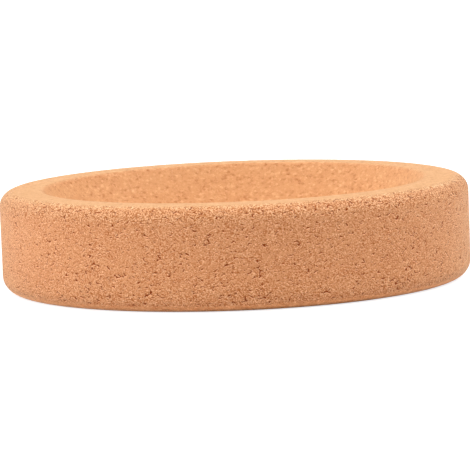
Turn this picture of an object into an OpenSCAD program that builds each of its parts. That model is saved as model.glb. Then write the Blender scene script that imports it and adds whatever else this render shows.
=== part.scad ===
// Support ring of pressed cork for round-bottomed flasks.
// One moulded piece: a low wide ring with softly rounded outer edges, a flat
// top face and a bore that narrows downwards, so that a flask settles into it.
// The origin is the centre of the underside, and +Z is up.

/* [Ring] */
// Outer diameter of the ring
outer_d = 140; // [130:1:200]
// Height from the underside to the top face
height = 30; // [20:1:50]

/* [Bore] */
// Diameter at which the bore's slope meets the plane of the top face
mouth_d = 114; // [90:1:124]
// Diameter at which the bore's slope meets the plane of the underside
throat_d = 75; // [50:1:110]

/* [Edges] */
// Rounding between the outer wall and the top face
top_edge_r = 4.5; // [1:0.5:6]
// Rounding between the outer wall and the underside
foot_edge_r = 5; // [1:0.5:8]
// Rounding between the bore and the top face
mouth_edge_r = 1.5; // [0.5:0.5:4]
// Rounding between the bore and the underside
throat_edge_r = 1.5; // [0.5:0.5:4]

/* [Hidden] */
$fn = 180;

cork = [0.87, 0.64, 0.44];

// How far a rounding's circle crosses the sides it is tangent to, so that they
// always meet
arc_overlap = 0.00002;

// Most of a side's length that the rounding at one of its ends may take up
side_share = 0.49;

// Corners of the section, in order round its outline, and the rounding at each
corners = [
    [throat_d / 2, 0],
    [outer_d / 2, 0],
    [outer_d / 2, height],
    [mouth_d / 2, height]
];
edge_radii = [throat_edge_r, foot_edge_r, top_edge_r, mouth_edge_r];

function unit(v) = v / norm(v);

// What rounding takes off a corner: the tip between its two sides and the arc
// that runs from one side to the other, whatever angle they meet at. The tip
// is drawn beyond the corner, so that it shares no edge with the section.
module corner_waste(corner, before, after, edge_r) {
    u = unit(before - corner);
    v = unit(after - corner);
    inward = unit(u + v);
    half_angle = acos(u * v) / 2;
    shorter_side = min(norm(before - corner), norm(after - corner));
    r = min(edge_r, side_share * shorter_side * tan(half_angle));
    reach = r / tan(half_angle);
    centre = inward * r / sin(half_angle);
    translate(corner)
        difference() {
            polygon([-inward * r, u * reach, centre, v * reach]);
            translate(centre) circle(r + arc_overlap);
        }
}

// Half of the ring's cross-section, with the bore's side to the left
module section() {
    count = len(corners);
    difference() {
        polygon(corners);
        for (i = [0 : count - 1])
            corner_waste(
                corners[i],
                corners[(i + count - 1) % count],
                corners[(i + 1) % count],
                edge_radii[i]
            );
    }
}

module cork_ring() {
    color(cork) rotate_extrude() section();
}

cork_ring();
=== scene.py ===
import math

import bpy
import numpy as np
from mathutils import Matrix, Vector


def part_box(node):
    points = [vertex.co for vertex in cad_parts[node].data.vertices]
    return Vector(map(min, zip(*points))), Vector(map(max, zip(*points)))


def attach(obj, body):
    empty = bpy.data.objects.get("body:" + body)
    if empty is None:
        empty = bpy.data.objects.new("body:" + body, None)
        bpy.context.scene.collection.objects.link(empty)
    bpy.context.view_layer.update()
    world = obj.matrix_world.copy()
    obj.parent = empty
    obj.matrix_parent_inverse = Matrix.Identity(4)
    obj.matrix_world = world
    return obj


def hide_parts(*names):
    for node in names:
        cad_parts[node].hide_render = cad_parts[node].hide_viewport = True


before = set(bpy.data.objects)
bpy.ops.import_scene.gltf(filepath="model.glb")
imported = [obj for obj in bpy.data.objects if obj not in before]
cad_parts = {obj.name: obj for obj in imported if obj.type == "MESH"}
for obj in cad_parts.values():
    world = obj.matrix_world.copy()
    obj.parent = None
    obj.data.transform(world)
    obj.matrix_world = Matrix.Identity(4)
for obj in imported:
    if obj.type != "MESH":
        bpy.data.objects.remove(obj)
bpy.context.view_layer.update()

# All lengths are in metres. MM turns a size given in millimetres into metres.
MM = 0.001

# The ring's section. Its outer radius and height come from the frame.
_, (OUTER_R, _, HEIGHT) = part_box("cork_ring")
MOUTH_R = 57 * MM  # where the bore's slope meets the plane of the top face
THROAT_R = 37.5 * MM  # where it meets the plane of the underside
TOP_EDGE_R = 4.5 * MM
FOOT_EDGE_R = 5 * MM
MOUTH_EDGE_R = 1.5 * MM
THROAT_EDGE_R = 1.5 * MM

# The mesh
OUTER_STEP = 0.62 * MM  # between points of the section on the wall and the top
BORE_STEP = 0.8 * MM
PLAIN_STEP = 2 * MM  # and on the underside
FEWEST_ARC_PIECES = 4  # of the section, at a rounding
AROUND = 720  # faces round the ring
UV_MARGIN = 0.004  # kept free round each strip of the map

# The cork's granules, pressed flat by the mould. A fade gives the two values
# between which something grows from nothing to full, or dies away.
PRESSED = 1.4  # how much narrower they are upwards than along
GRANULE = 0.45 * MM
BORDER_FADE = (0.1, 0.8)  # from a granule's middle outwards, in granules
CHIP = 0.3 * MM  # the odd pale or dark pieces among them
FLECK = 0.2 * MM
STRAY = 1.3 * MM  # the swirls in which their outlines stray
WARP = 0.3 * MM  # and how far they do
STRAY_DETAIL = 2.0  # how many finer swirls each swirl holds, as the noise node counts
PATCH = 5 * MM  # the stretches of coarse and of even grain
PATCH_FADE = (0.35, 0.65)
MOTTLE = 1.6 * MM  # the soft clouds in the smooth skin
BEAD = 1.15 * MM  # and the soft round dots there
BEAD_FADE = (0.1, 1.0)

# The cracks between lumps of granules
CRACK_CELL = 2 * MM  # the lumps
CRACK_PATCH = 1.4 * MM  # the stretches along which a crack stays open
CRACK_OPENS = 0.56  # the share of a stretch's noise at which it starts to open
CRACK_SPAN = 0.18  # and how much more opens it fully
CRACK_WIDTH = 0.3 * MM
CRACK_FADE = (0.4, 1.0)  # from a crack's middle line to its edge
LIP_HIGHLIGHT_DROP = 0.25 * MM  # how far below a crack its painted highlight lies, where light from above would catch the crack's lower edge

# The skin that the mould left: smooth on the top, in the bore, on the underside
# and on the lowest strip of the wall, and torn on the outer roundings
SKIN_FADE = (OUTER_R - TOP_EDGE_R - 1 * MM, OUTER_R - TOP_EDGE_R + 1 * MM)  # radii
FOOT_FADE = (1.2 * MM, 2.4 * MM)  # heights
TORN_TOP_FADE = (2 * MM, 6 * MM)  # from the corner that the rounding takes off
TORN_FOOT_FADE = (5 * MM, 10 * MM)
TORN_FOOT_SHARE = 0.4  # the foot's rounding is less torn
TORN_CRACKS = 0.02  # how much sooner a crack opens where the skin is torn
SPLINTER = 0.3 * MM  # the torn granules' pale and dark splinters

# The surface relief, all of it below the moulded surface
GRANULE_RELIEF = 0.04 * MM
CRACK_DEPTH = 0.3 * MM

# The camera, as the photograph was taken
CAMERA_ELEVATION = math.radians(6.541)
CAMERA_DISTANCE = 1.0507
CAMERA_ROLL = math.radians(-2.216)
CAMERA_TILT = math.radians(0.06)
CAMERA_PAN = math.radians(0.005)
LENS_MM = 268.9
SENSOR_MM = 36.0
CLIP = (0.05, 20)  # the nearest and the farthest that the camera sees, in metres


# ---------------------------------------------------------------- the mesh

def rounded_section(corners, radii, steps):
    """Points round a polygon whose corners are rounded, with their distance
    along the outline. steps holds the spacing on the side that starts at each
    corner; the outline runs anticlockwise."""
    count = len(corners)
    arcs = []
    for i, r in enumerate(radii):
        corner = corners[i]
        before = corners[i - 1] - corner
        after = corners[(i + 1) % count] - corner
        u = before / np.linalg.norm(before)
        v = after / np.linalg.norm(after)
        half_angle = math.acos(u @ v) / 2
        inward = (u + v) / np.linalg.norm(u + v)
        centre = corner + inward * r / math.sin(half_angle)
        start = corner + u * r / math.tan(half_angle)
        turn = math.pi - 2 * half_angle
        arcs.append((centre, start - centre, turn, r))
    points, along = [], []
    travelled = 0.0
    for i, (centre, first, turn, r) in enumerate(arcs):
        pieces = max(FEWEST_ARC_PIECES, math.ceil(r * turn / OUTER_STEP))
        for k in range(pieces + 1):
            a = turn * k / pieces
            points.append(centre + np.array([
                first[0] * math.cos(a) - first[1] * math.sin(a),
                first[0] * math.sin(a) + first[1] * math.cos(a),
            ]))
            along.append(travelled + r * a)
        travelled += r * turn
        next_centre, next_first, _, _ = arcs[(i + 1) % count]
        start = points[-1]
        side = next_centre + next_first - start
        length = np.linalg.norm(side)
        pieces = max(1, math.ceil(length / steps[i]))
        for k in range(1, pieces):
            points.append(start + side * k / pieces)
            along.append(travelled + length * k / pieces)
        travelled += length
    return np.array(points), np.array(along) / travelled


def ring_mesh(name):
    """The ring as the mould leaves it: its rounded section, carried round the axis."""
    corners = [
        np.array([THROAT_R, 0.0]),
        np.array([OUTER_R, 0.0]),
        np.array([OUTER_R, HEIGHT]),
        np.array([MOUTH_R, HEIGHT]),
    ]
    radii = [THROAT_EDGE_R, FOOT_EDGE_R, TOP_EDGE_R, MOUTH_EDGE_R]
    steps = [PLAIN_STEP, OUTER_STEP, OUTER_STEP, BORE_STEP]
    points, along = rounded_section(corners, radii, steps)
    rows = len(points)
    angles = np.arange(AROUND) * 2 * math.pi / AROUND
    places = np.stack([
        points[:, 0] * np.cos(angles)[:, None],
        points[:, 0] * np.sin(angles)[:, None],
        np.broadcast_to(points[:, 1], (AROUND, rows)),
    ], -1).reshape(-1, 3)

    i, k = np.meshgrid(np.arange(AROUND), np.arange(rows), indexing="ij")
    i2, k2 = (i + 1) % AROUND, (k + 1) % rows
    faces = np.stack([i * rows + k, i2 * rows + k, i2 * rows + k2, i * rows + k2], -1)
    mesh = bpy.data.meshes.new(name)
    mesh.from_pydata(places.tolist(), [], faces.reshape(-1, 4).tolist())

    # The map: the ring's two halves, unrolled, one above the other
    half = i // (AROUND // 2)
    left = i % (AROUND // 2) / (AROUND / 2)
    right = left + 2 / AROUND
    ends = np.append(along, 1.0)

    def placed(u, v):
        u = UV_MARGIN + u * (1 - 2 * UV_MARGIN)
        v = (half + 2 * UV_MARGIN + v * (1 - 4 * UV_MARGIN)) / 2
        return np.stack([u, v], -1)

    low, high = ends[k], ends[k + 1]
    uv = np.stack([
        placed(left, low),
        placed(right, low),
        placed(right, high),
        placed(left, high),
    ], 2)
    layer = mesh.uv_layers.new(name="OFBake")
    layer.uv.foreach_set("vector", uv.astype(np.float32).ravel())
    mesh.shade_smooth()
    mesh.validate()
    return mesh


# ---------------------------------------------------------------- the nodes

NEVER_ZERO = 1e-5  # added to what something is divided by


class Nodes:
    """A short way to add linked nodes to a node tree."""

    def __init__(self, tree):
        self.tree = tree
        tree.nodes.clear()

    def add(self, kind, settings=None, **inputs):
        node = self.tree.nodes.new(kind)
        for key, value in (settings or {}).items():
            setattr(node, key, value)
        for key, value in inputs.items():
            self.put(node.inputs[key.replace("_", " ")], value)
        return node

    def put(self, socket, value):
        if isinstance(value, bpy.types.NodeSocket):
            self.tree.links.new(value, socket)
        else:
            socket.default_value = value

    def math(self, operation, a, b):
        node = self.add("ShaderNodeMath", {"operation": operation})
        self.put(node.inputs[0], a)
        self.put(node.inputs[1], b)
        return node.outputs[0]

    def vector(self, operation, *values):
        node = self.add("ShaderNodeVectorMath", {"operation": operation})
        for socket, value in zip(node.inputs, values):
            self.put(socket, value)
        return node.outputs[0]

    def length(self, value):
        node = self.add("ShaderNodeVectorMath", {"operation": "LENGTH"})
        self.put(node.inputs[0], value)
        return node.outputs["Value"]

    def first(self, colour):
        """One number out of a texture's colour."""
        return self.add("ShaderNodeSeparateXYZ", Vector=colour).outputs["X"]

    def mix(self, amount, a, b, blend="MIX", clamp=False):
        settings = {"data_type": "RGBA", "blend_type": blend, "clamp_result": clamp}
        node = self.add("ShaderNodeMix", settings)
        colours = [s for s in node.inputs if s.type == "RGBA"]
        self.put(node.inputs[0], amount)
        self.put(colours[0], a)
        self.put(colours[1], b)
        return next(s for s in node.outputs if s.type == "RGBA")

    def fade(self, value, low, high, to_low=0.0, to_high=1.0):
        node = self.add("ShaderNodeMapRange", {"interpolation_type": "SMOOTHSTEP"})
        for key, given in zip(("Value", "From Min", "From Max", "To Min", "To Max"),
                              (value, low, high, to_low, to_high)):
            self.put(node.inputs[key], given)
        return node.outputs["Result"]

    def fade_out(self, value, low, high):
        return self.fade(value, low, high, 1.0, 0.0)

    def noise(self, place, size, detail=1.0):
        """Soft noise, in blobs of about this size."""
        return self.add("ShaderNodeTexNoise", Vector=place, Scale=1 / size, Detail=detail)

    def cells(self, place, size, settings=None):
        """Irregular cells of about this size."""
        return self.add("ShaderNodeTexVoronoi", settings, Vector=place, Scale=1 / size)


def on_section(n, place):
    """Where a place is on the ring's section: its distance from the axis, and its height."""
    radius = n.length(n.vector("MULTIPLY", place, (1, 1, 0)))
    height = n.add("ShaderNodeSeparateXYZ", Vector=place).outputs["Z"]
    return radius, height


def smooth_skin(n, radius, height):
    """1 where the skin is smooth, and 0 outside it."""
    inside = n.fade_out(radius, *SKIN_FADE)
    return n.math("MAXIMUM", inside, n.fade_out(height, *FOOT_FADE))


def torn_skin(n, radius, height):
    """1 where the mould's edges tore the granules, and 0 away from them."""
    spot = n.add("ShaderNodeCombineXYZ", X=radius, Y=height).outputs[0]
    from_top = n.length(n.vector("SUBTRACT", spot, (OUTER_R, HEIGHT, 0)))
    from_foot = n.length(n.vector("SUBTRACT", spot, (OUTER_R, 0, 0)))
    top = n.fade_out(from_top, *TORN_TOP_FADE)
    foot = n.fade(from_foot, *TORN_FOOT_FADE, TORN_FOOT_SHARE, 0.0)
    return n.math("MAXIMUM", top, foot)


def cracks(n, place, torn, smooth):
    """1 in the cracks that open here and there between the lumps, and 0 beside them."""
    lumps = n.cells(place, CRACK_CELL, {"feature": "DISTANCE_TO_EDGE"})
    patch = n.noise(place, CRACK_PATCH)
    opening = n.math("ADD", patch.outputs["Fac"], n.math("MULTIPLY", torn, TORN_CRACKS))
    opening = n.math("SUBTRACT", opening, smooth)
    width = n.fade(opening, CRACK_OPENS, CRACK_OPENS + CRACK_SPAN, 0.0, CRACK_WIDTH / CRACK_CELL)
    width = n.math("ADD", width, NEVER_ZERO)
    return n.fade_out(n.math("DIVIDE", lumps.outputs["Distance"], width), *CRACK_FADE)


def cork_pattern(n, place):
    """What the cork's grain is at a place, each from 0 to 1: a granule's tone and how near its
    border is, a chip's and a fleck's tones, how coarse the patch is, the smooth skin's clouds
    and dots, the kinds of skin, the splinters, the cracks and the painted highlights below them."""
    radius, height = on_section(n, place)
    smooth = smooth_skin(n, radius, height)
    torn = torn_skin(n, radius, height)
    place = n.vector("MULTIPLY", place, (1, 1, PRESSED))
    stray = n.noise(place, STRAY, STRAY_DETAIL)
    warped = n.vector("MULTIPLY_ADD", stray.outputs["Color"], (WARP, WARP, WARP), place)

    granules = n.cells(warped, GRANULE)
    chips = n.cells(warped, CHIP)
    flecks = n.cells(place, FLECK)
    beads = n.cells(warped, BEAD)
    coarse = n.noise(place, PATCH)
    mottle = n.noise(place, MOTTLE)
    splinters = n.noise(place, SPLINTER)
    # the cracks moved up, so that the painted highlight falls on the edge below each crack
    crack_above = n.vector("ADD", warped, (0, 0, LIP_HIGHLIGHT_DROP * PRESSED))
    return {
        "granule": n.first(granules.outputs["Color"]),
        "border": n.fade(granules.outputs["Distance"], *BORDER_FADE),
        "chip": n.first(chips.outputs["Color"]),
        "fleck": n.first(flecks.outputs["Color"]),
        "coarse": n.fade(coarse.outputs["Fac"], *PATCH_FADE),
        "mottle": mottle.outputs["Fac"],
        "bead": n.first(beads.outputs["Color"]),
        "inside bead": n.fade_out(beads.outputs["Distance"], *BEAD_FADE),
        "smooth": smooth,
        "torn": torn,
        "splinter": splinters.outputs["Fac"],
        "crack": cracks(n, warped, torn, smooth),
        "lip_highlight": cracks(n, crack_above, torn, smooth),
    }


def sink_grain(ring):
    """Sinks the granules' borders and the cracks into the ring's mesh."""
    tree = bpy.data.node_groups.new("grain", "GeometryNodeTree")
    for way in ("INPUT", "OUTPUT"):
        tree.interface.new_socket("Geometry", in_out=way, socket_type="NodeSocketGeometry")
    n = Nodes(tree)
    pattern = cork_pattern(n, n.add("GeometryNodeInputPosition").outputs[0])
    outside = n.math("SUBTRACT", 1.0, pattern["smooth"])
    borders = n.math("MULTIPLY", pattern["border"], n.math("MULTIPLY", outside, GRANULE_RELIEF))
    depth = n.math("ADD", borders, n.math("MULTIPLY", pattern["crack"], CRACK_DEPTH))
    normal = n.add("GeometryNodeInputNormal").outputs[0]
    inward = n.add("ShaderNodeVectorMath", {"operation": "SCALE"})
    n.put(inward.inputs[0], normal)
    n.put(inward.inputs["Scale"], n.math("MULTIPLY", depth, -1.0))
    moved = n.add("GeometryNodeSetPosition", Offset=inward.outputs[0])
    n.put(moved.inputs["Geometry"], n.add("NodeGroupInput").outputs[0])
    n.put(n.add("NodeGroupOutput").inputs[0], moved.outputs[0])
    ring.modifiers.new("grain", "NODES").node_group = tree
    graph = bpy.context.evaluated_depsgraph_get()
    sunk = bpy.data.meshes.new_from_object(ring.evaluated_get(graph))
    ring.modifiers.clear()
    plain, ring.data = ring.data, sunk
    name = plain.name
    bpy.data.meshes.remove(plain)
    sunk.name = name


# ------------------------------------------------------------ the materials

def linear(red, green, blue):
    """A colour given as it shows on a screen, from 0 to 255, as a shader takes it."""
    def one(level):
        x = level / 255
        return x / 12.92 if x <= 0.04045 else ((x + 0.055) / 1.055) ** 2.4
    return (one(red), one(green), one(blue), 1.0)


CORK_DARK = linear(156, 80, 24)
CORK_SHADE = linear(182, 110, 64)
CORK_BODY = linear(211, 145, 97)
CORK_LIGHT = linear(230, 170, 125)
CORK_PALE = linear(245, 188, 144)
CORK_CRACK = linear(138, 59, 6)
# a painted highlight: the pale lower edge of a crack, as light from above catches it
CORK_LIP_HIGHLIGHT = linear(242, 175, 127)

# The grain's tone picks the colour: what each of these adds to it, and the
# tones at which the colours stand
MIDDLE = 0.5  # of the tone, and of the values that make it up
BORDER_SHARE, GRANULE_SHARE, FLECK_SHARE = 0.6, 0.2, 0.2
MOTTLE_SHARE = 0.4
BEAD_SHARE = 0.45
SPLINTER_SHARE = 2.4
DARK_TONE, SHADE_TONE, BODY_TONE, LIGHT_TONE, PALE_TONE = -0.2, 0.15, MIDDLE, 0.85, 1.2

# The grain's contrast in even and in coarse patches, what torn skin adds to it,
# and what is left of it on smooth skin
EVEN_CONTRAST, COARSE_CONTRAST = 0.7, 1.15
TORN_CONTRAST = 0.5
SKIN_CONTRAST = 0.2

CHIP_SHARE = 0.06  # of the chips are dark, and as many are pale
TORN_CHIPS = 0.06  # more of them are pale where the skin is torn
SKIN_CHIPS = 0.3  # how much of them shows on smooth skin
CHIP_FADE = 0.04

# What the colour is multiplied by on each part of the ring: the wall's own colour, and on the
# bore, the top, the torn roundings and the foot painted light and shade as well
# painted light: the bore painted paler than the wall, for the light that its far side gets from
# the front and above
BORE_PAINTED_LIGHT = (1.0, 1.097, 1.105, 1.0)
# the top face paler and yellower: partly its smoother skin, partly painted sheen where the light
# grazes it
TOP_SKIN_AND_SHEEN_TINT = (0.97, 1.13, 1.19, 1.0)
WALL_TINT = (0.965, 0.985, 1.02, 1.0)
# darker on the torn outer roundings: partly their torn grain, partly painted shade where less
# light falls on them
TORN_GRAIN_AND_SHADE_TINT = (0.91, 0.94, 0.94, 1.0)
# painted light: the lowest strip of the wall and the underside painted lighter, for light bounced
# up from the floor
FOOT_PAINTED_BOUNCE = (1.16, 1.18, 1.17, 1.0)

MOUTH_FADE = (MOUTH_R - 1 * MM, MOUTH_R + 1 * MM)  # radii
TOP_FADE = (HEIGHT - 1 * MM, HEIGHT - 0.2 * MM)  # heights
UNDERSIDE_FADE = (0.1 * MM, 0.8 * MM)  # the underside gets the foot's painted bounce light too

GRAIN_BUMP = 0.15 * MM
BUMP_STRENGTH = 0.7
BORDER_BUMP = 0.5  # how deep a border is in the bump, with a crack as 1
ROUGHNESS = 0.7
REFRACTION = 1.27
SHEEN = 0.32
SHEEN_ROUGHNESS = 0.4
SHEEN_TINT = (1.0, 0.84, 0.56, 1.0)


def grain_tone(n, pattern):
    """The grain's tone. Its contrast is lower on smooth skin and higher on torn skin."""
    def off_middle(name, share):
        return n.math("MULTIPLY", n.math("SUBTRACT", pattern[name], MIDDLE), share)

    tone = n.math("MULTIPLY", n.math("SUBTRACT", 1.0, pattern["border"]), BORDER_SHARE)
    tone = n.math("ADD", tone, n.math("MULTIPLY", pattern["granule"], GRANULE_SHARE))
    tone = n.math("ADD", tone, n.math("MULTIPLY", pattern["fleck"], FLECK_SHARE))
    contrast = n.fade(pattern["coarse"], 0.0, 1.0, EVEN_CONTRAST, COARSE_CONTRAST)
    contrast = n.math("ADD", contrast, n.math("MULTIPLY", pattern["torn"], TORN_CONTRAST))
    left_on_skin = n.fade(pattern["smooth"], 0.0, 1.0, 1.0, SKIN_CONTRAST)
    contrast = n.math("MULTIPLY", contrast, left_on_skin)
    tone = n.math("MULTIPLY", n.math("SUBTRACT", tone, MIDDLE), contrast)
    bead = n.math("MULTIPLY", off_middle("bead", BEAD_SHARE), pattern["inside bead"])
    cloud = n.math("ADD", off_middle("mottle", MOTTLE_SHARE), bead)
    tone = n.math("ADD", tone, n.math("MULTIPLY", cloud, pattern["smooth"]))
    splinter = off_middle("splinter", SPLINTER_SHARE)
    tone = n.math("ADD", tone, n.math("MULTIPLY", splinter, pattern["torn"]))
    return n.math("ADD", tone, MIDDLE)


def skin_tint(n, place, torn):
    """What the grain's colour is multiplied by at a place, with its painted light and shade."""
    radius, height = on_section(n, place)
    bore = n.fade_out(radius, *MOUTH_FADE)
    top = n.math("MULTIPLY", n.fade(height, *TOP_FADE), n.math("SUBTRACT", 1.0, bore))
    foot = n.fade_out(height, *FOOT_FADE)
    underside = n.fade_out(height, *UNDERSIDE_FADE)
    # the torn roundings' darker grain and painted shade
    tint = n.mix(torn, WALL_TINT, TORN_GRAIN_AND_SHADE_TINT)
    # painted bounce light from the floor on the foot
    tint = n.mix(foot, tint, FOOT_PAINTED_BOUNCE)
    # the bore painted paler, for the light that it gets
    tint = n.mix(bore, tint, BORE_PAINTED_LIGHT)
    # the top face's paler skin and painted sheen
    tint = n.mix(top, tint, TOP_SKIN_AND_SHEEN_TINT)
    # the underside gets the foot's painted bounce light too
    return n.mix(underside, tint, FOOT_PAINTED_BOUNCE)


def cork_colour(n, place, pattern):
    """The grain's colours, with its chips, its cracks and their painted highlights, in the skin's
    tint.
    """
    tone = grain_tone(n, pattern)
    colour = n.mix(n.fade(tone, DARK_TONE, SHADE_TONE), CORK_DARK, CORK_SHADE)
    colour = n.mix(n.fade(tone, SHADE_TONE, BODY_TONE), colour, CORK_BODY)
    colour = n.mix(n.fade(tone, BODY_TONE, LIGHT_TONE), colour, CORK_LIGHT)
    colour = n.mix(n.fade(tone, LIGHT_TONE, PALE_TONE), colour, CORK_PALE)
    shows = n.fade(pattern["smooth"], 0.0, 1.0, 1.0, SKIN_CHIPS)
    more = n.math("MULTIPLY", pattern["torn"], TORN_CHIPS)
    pale = n.math("ADD", pattern["chip"], more)
    pale = n.fade(pale, 1.0 - CHIP_SHARE, 1.0 - CHIP_SHARE + CHIP_FADE)
    dark = n.fade_out(pattern["chip"], CHIP_SHARE - CHIP_FADE, CHIP_SHARE)
    colour = n.mix(n.math("MULTIPLY", pale, shows), colour, CORK_PALE)
    colour = n.mix(n.math("MULTIPLY", dark, shows), colour, CORK_DARK)
    # painted highlight on the edge below each crack
    colour = n.mix(pattern["lip_highlight"], colour, CORK_LIP_HIGHLIGHT)
    colour = n.mix(pattern["crack"], colour, CORK_CRACK)
    return n.mix(1.0, colour, skin_tint(n, place, pattern["torn"]), "MULTIPLY", clamp=True)


def cork_material():
    material = bpy.data.materials.new("pressed_cork")
    material.use_nodes = True
    n = Nodes(material.node_tree)
    place = n.add("ShaderNodeTexCoord").outputs["Object"]
    pattern = cork_pattern(n, place)
    borders = n.math("MULTIPLY", pattern["border"], -BORDER_BUMP)
    height = n.math("SUBTRACT", borders, pattern["crack"])
    bump = n.add("ShaderNodeBump", Strength=BUMP_STRENGTH, Distance=GRAIN_BUMP, Height=height)
    shader = n.add(
        "ShaderNodeBsdfPrincipled",
        Base_Color=cork_colour(n, place, pattern),
        Normal=bump.outputs[0],
        Roughness=ROUGHNESS,
        IOR=REFRACTION,
        Sheen_Weight=SHEEN,
        Sheen_Roughness=SHEEN_ROUGHNESS,
        Sheen_Tint=SHEEN_TINT,
    )
    n.add("ShaderNodeOutputMaterial", Surface=shader.outputs[0])
    return material


# ------------------------------------------------------------- the stage

FLOOR_SIZE = 12.0
FLOOR_GAP = 0.05 * MM  # below the ring, so that neither shows through the other
FLOOR_ALBEDO = 0.8  # for the light that it reflects
FLOOR_SHOWN_BASE = 0.8  # how much of its white the camera sees even in shadow
FLOOR_SHOWN_LIT = 0.45  # and the albedo for the rest
AMBIENT = 0.025  # how bright the studio round the ring is for the light
LAMP_SPREAD = 60  # degrees
LAMPS = {  # azimuth and elevation in degrees, and strength
    "front left": (-60, 40, 2.35),
    "left": (-110, 20, 1.3),
    "right": (90, 55, 3.4),
}


def seen_directly(n):
    """1 for rays that show what they meet as it is, and 0 for those that only carry light."""
    path = n.add("ShaderNodeLightPath")
    seen = n.math("MAXIMUM", path.outputs["Is Camera Ray"], path.outputs["Is Glossy Ray"])
    return n.math("MAXIMUM", seen, path.outputs["Is Transmission Ray"])


def floor_material():
    """White to the eye, down to the ring's soft shadow, and pale to the light that it reflects."""
    material = bpy.data.materials.new("floor")
    material.use_nodes = True
    n = Nodes(material.node_tree)
    pale = n.add("ShaderNodeBsdfDiffuse", Color=(FLOOR_ALBEDO,) * 3 + (1.0,))
    lit = n.add("ShaderNodeBsdfDiffuse", Color=(FLOOR_SHOWN_LIT,) * 3 + (1.0,))
    glow = n.add("ShaderNodeEmission", Color=(1, 1, 1, 1), Strength=FLOOR_SHOWN_BASE)
    both = n.add("ShaderNodeAddShader")
    n.put(both.inputs[0], lit.outputs[0])
    n.put(both.inputs[1], glow.outputs[0])
    pick = n.add("ShaderNodeMixShader")
    n.put(pick.inputs[0], seen_directly(n))
    n.put(pick.inputs[1], pale.outputs[0])
    n.put(pick.inputs[2], both.outputs[0])
    n.add("ShaderNodeOutputMaterial", Surface=pick.outputs[0])
    return material


def make_floor():
    half = FLOOR_SIZE / 2
    mesh = bpy.data.meshes.new("floor")
    corners = [(-half, -half), (half, -half), (half, half), (-half, half)]
    mesh.from_pydata([(x, y, -FLOOR_GAP) for x, y in corners], [], [(0, 1, 2, 3)])
    mesh.materials.append(floor_material())
    floor = bpy.data.objects.new("floor", mesh)
    bpy.context.scene.collection.objects.link(floor)


def soft_sun(name, azimuth, elevation, strength):
    """A wide soft light from far off. Azimuth 0 is behind the camera, 90 to its right."""
    light = bpy.data.lights.new(name, "SUN")
    light.angle = math.radians(LAMP_SPREAD)
    light.energy = strength
    lamp = bpy.data.objects.new(name, light)
    a, e = math.radians(azimuth), math.radians(elevation)
    towards = Vector((math.sin(a) * math.cos(e), -math.cos(a) * math.cos(e), math.sin(e)))
    lamp.rotation_euler = towards.to_track_quat("Z", "Y").to_euler()
    bpy.context.scene.collection.objects.link(lamp)


def make_light():
    world = bpy.data.worlds.new("studio")
    world.use_nodes = True
    bpy.context.scene.world = world
    n = Nodes(world.node_tree)
    strength = n.fade(seen_directly(n), 0.0, 1.0, AMBIENT, 1.0)
    back = n.add("ShaderNodeBackground", Color=(1, 1, 1, 1), Strength=strength)
    n.add("ShaderNodeOutputWorld", Surface=back.outputs[0])
    for name, aim in LAMPS.items():
        soft_sun(name, *aim)


def make_camera(target):
    data = bpy.data.cameras.new("camera")
    data.sensor_width = SENSOR_MM
    data.lens = LENS_MM
    data.clip_start, data.clip_end = CLIP
    e = CAMERA_ELEVATION
    place = target + Vector((0, -math.cos(e), math.sin(e))) * CAMERA_DISTANCE
    upright = Matrix.Rotation(math.pi / 2 - e, 4, "X")
    aim = Matrix.Rotation(CAMERA_ROLL, 4, "Z") @ Matrix.Rotation(CAMERA_PAN, 4, "Y")
    aim = aim @ Matrix.Rotation(-CAMERA_TILT, 4, "X")
    camera = bpy.data.objects.new("camera", data)
    camera.matrix_world = Matrix.Translation(place) @ upright @ aim
    bpy.context.scene.collection.objects.link(camera)
    bpy.context.scene.camera = camera


# ---------------------------------------------------------------- the scene

ring = bpy.data.objects.new("cork_ring_body", ring_mesh("cork_ring_body"))
bpy.context.scene.collection.objects.link(ring)
sink_grain(ring)
ring.data.materials.append(cork_material())
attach(ring, "root")
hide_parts("cork_ring")

make_floor()
make_light()
make_camera(Vector((0, 0, HEIGHT / 2)))
bpy.context.scene.view_settings.view_transform = "Standard"
